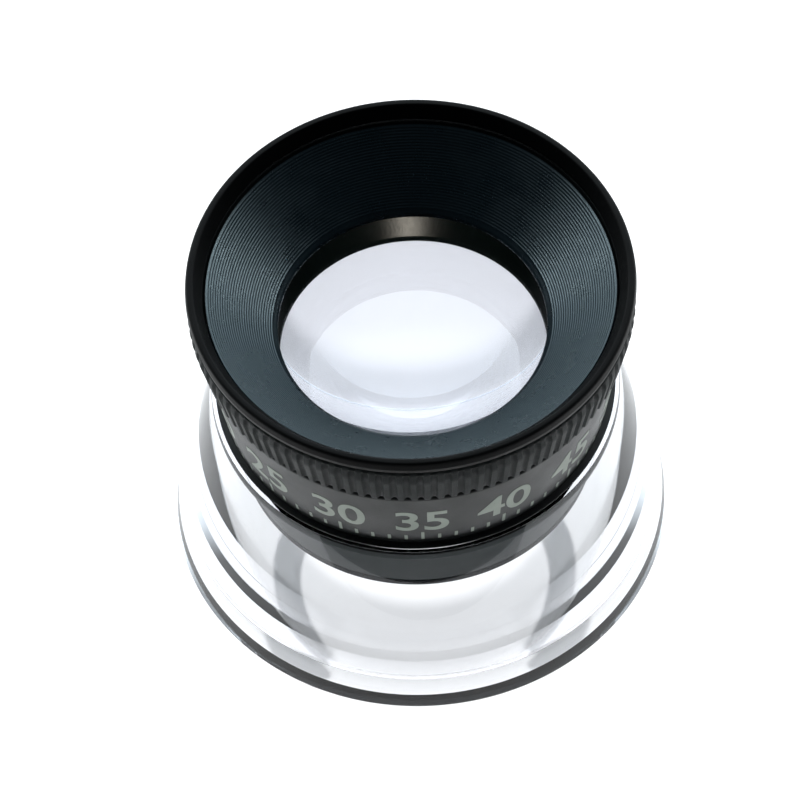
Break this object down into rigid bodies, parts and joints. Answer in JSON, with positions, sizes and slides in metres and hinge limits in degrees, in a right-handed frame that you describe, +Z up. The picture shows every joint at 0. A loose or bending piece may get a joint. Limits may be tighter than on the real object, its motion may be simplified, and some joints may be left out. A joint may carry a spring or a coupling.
{
  "type": "viewing loupe",
  "caption": "Focusing stand loupe: a flared eyecup and ribbed ring over a doublet lens pack, screwing up and down in a barrel on a clear round skirt.",
  "frame": {"origin": "centre of the skirt's foot, on the surface that the loupe stands on", "axes": "+Z up along the optical axis; the printed scale's middle faces -Y"},
  "size_m": [0.055, 0.055, 0.0417],
  "materials": {
    "clear_acrylic": "clear polished acrylic with fine moulding marks",
    "barrel_black": "satin black moulded plastic",
    "sleeve_black": "satin black plastic with a pale printed scale",
    "anodised_black": "black anodised",
    "damping_felt": "greased felt",
    "cone_black": "satin black plastic with fine concentric ridges",
    "rim_black": "polished black bead",
    "grip_rubber": "dull black rubber with upright ribs",
    "retainer_black": "gloss black anodised",
    "steel": "plain spring and screw steel",
    "optical_glass": "polished, coated optical glass"
  },
  "bodies": {
    "stand": {"clear_skirt": "clear_acrylic", "barrel": "barrel_black", "scale_sleeve": "sleeve_black", "lower_baffle": "anodised_black", "damping_ring": "damping_felt"},
    "lens_pack": {"upper_crown_lens": "optical_glass", "upper_flint_lens": "optical_glass", "lens_spacer": "anodised_black", "lower_flint_lens": "optical_glass", "lower_crown_lens": "optical_glass", "upper_lens_retainer": "retainer_black", "lower_lens_retainer": "anodised_black"},
    "focus_head": {"eye_tube": "anodised_black", "eyecup": "cone_black", "eyecup_rim": "rim_black", "grip_ring": "grip_rubber", "snap_ring": "steel", "set_screw_1": "steel", "set_screw_2": "steel", "set_screw_3": "steel"}
  },
  "joints": [
    {"name": "focus_travel", "type": "slide", "parent": "stand", "child": "lens_pack", "axis": [0, 0, 1], "range_m": [0, 0.005]},
    {"name": "focus_turn", "type": "hinge", "parent": "lens_pack", "child": "focus_head", "pos_m": [0, 0, 0.03], "axis": [0, 0, 1], "range_deg": [0, 150]}
  ],
  "couplings": [
    {"joint": "focus_travel", "follows": "focus_turn", "m_per_rad": 0.0019099}
  ]
}
